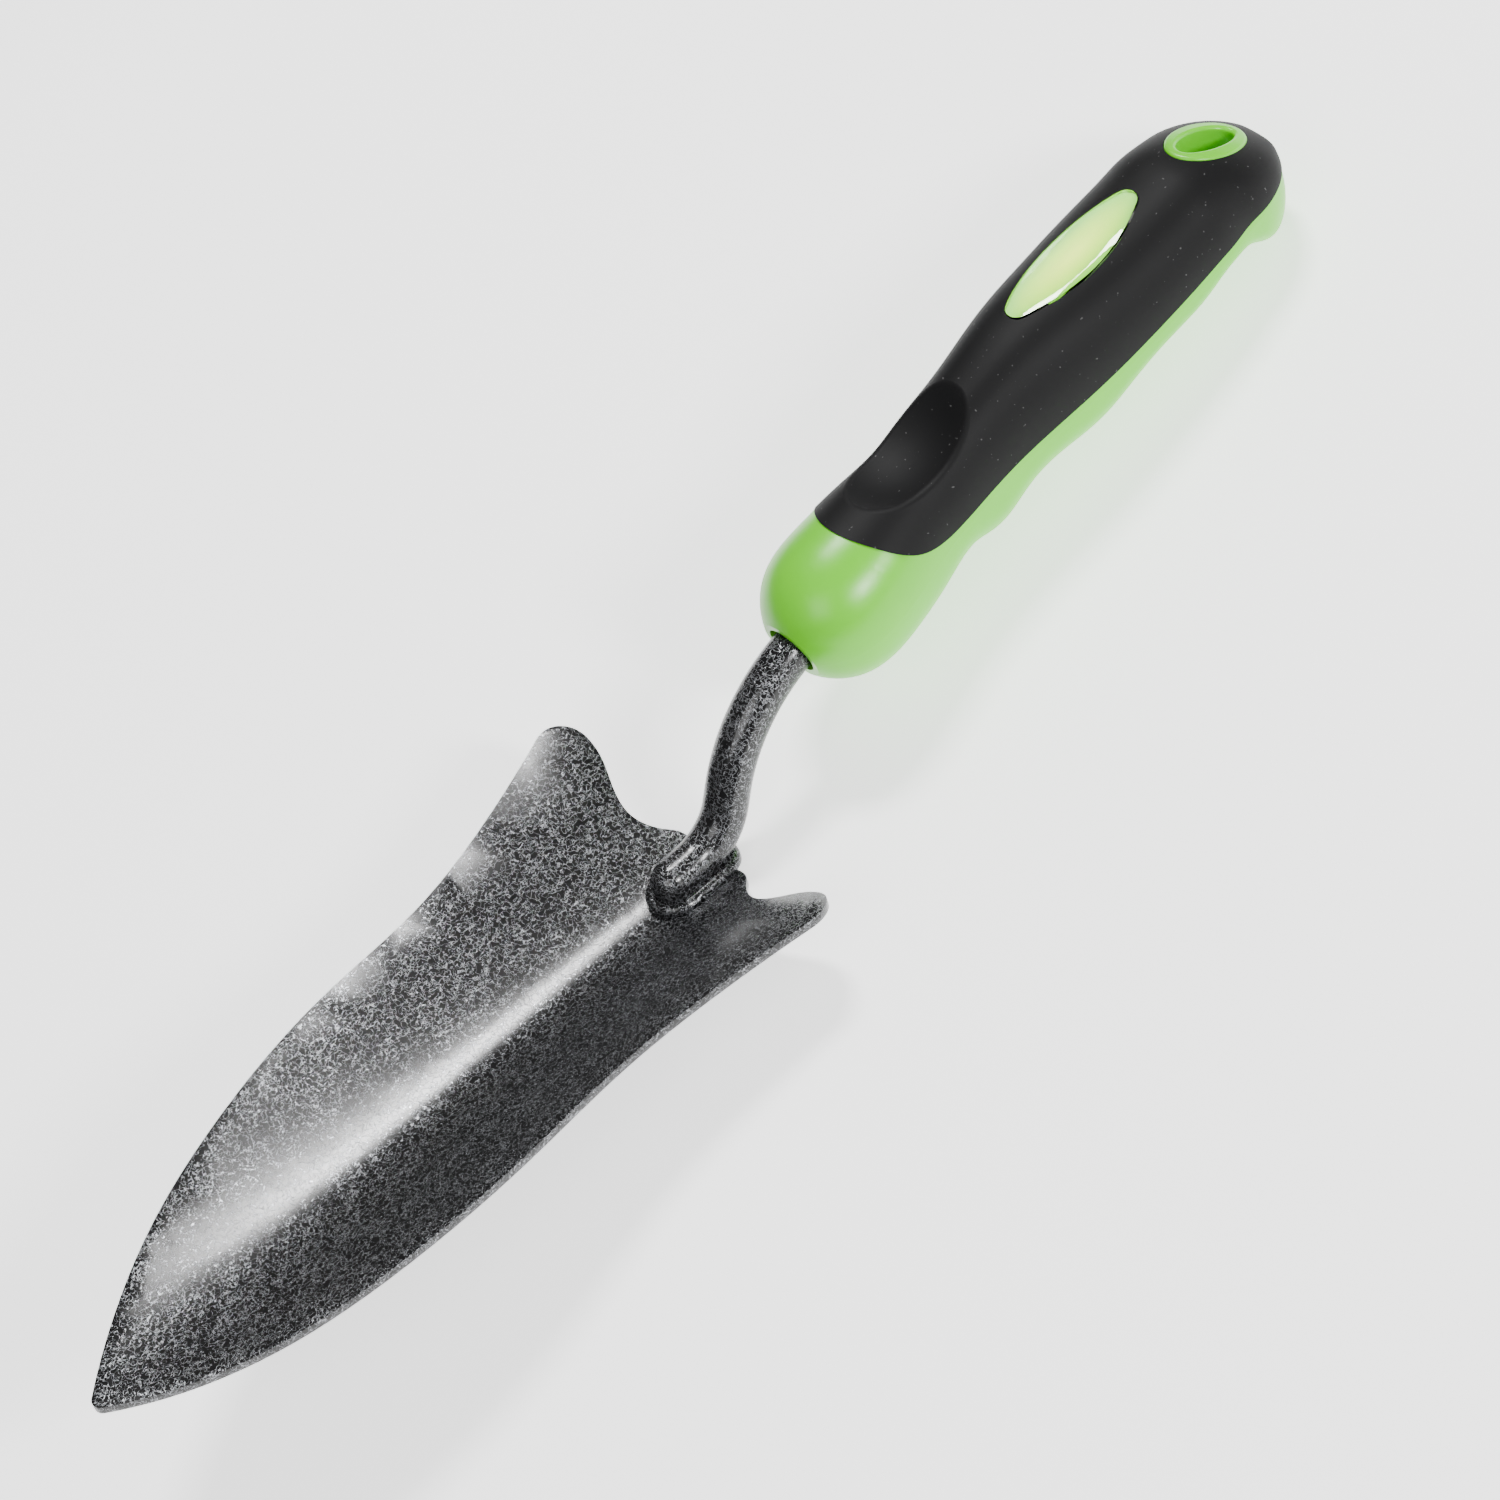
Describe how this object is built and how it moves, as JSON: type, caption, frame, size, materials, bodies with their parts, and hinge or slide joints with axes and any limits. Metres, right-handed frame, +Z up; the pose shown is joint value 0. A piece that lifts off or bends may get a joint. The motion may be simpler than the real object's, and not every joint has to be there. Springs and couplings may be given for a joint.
{
  "type": "hand trowel",
  "caption": "Hand trowel with a pointed V-troughed steel blade, a welded swan neck and a two-colour soft-grip handle with an oval hang hole.",
  "frame": {"origin": "under the middle of the trowel's length, on the surface that it lies on", "axes": "+X towards the blade tip, +Y to the left of the blade, +Z up, out of the hollow side of the blade and the back of the handle"},
  "size_m": [0.3322, 0.0794, 0.0444],
  "materials": {
    "hammertone_blade": "silver-vein hammertone powder coat, glossy",
    "hammertone_rod": "silver-vein hammertone powder coat, glossy",
    "coated_weld": "weld metal under the same coat",
    "green_polypropylene": "semi-gloss moulded",
    "black_soft_grip": "satin soft-touch",
    "lime_foil": "printed foil under resin",
    "clear_resin": "clear domed resin"
  },
  "bodies": {
    "root": {"blade": "hammertone_blade", "tang": "hammertone_rod", "weld_bead": "coated_weld", "handle_core": "green_polypropylene", "grip_overmould": "black_soft_grip", "badge_label": "lime_foil", "badge_dome": "clear_resin"}
  },
  "joints": []
}
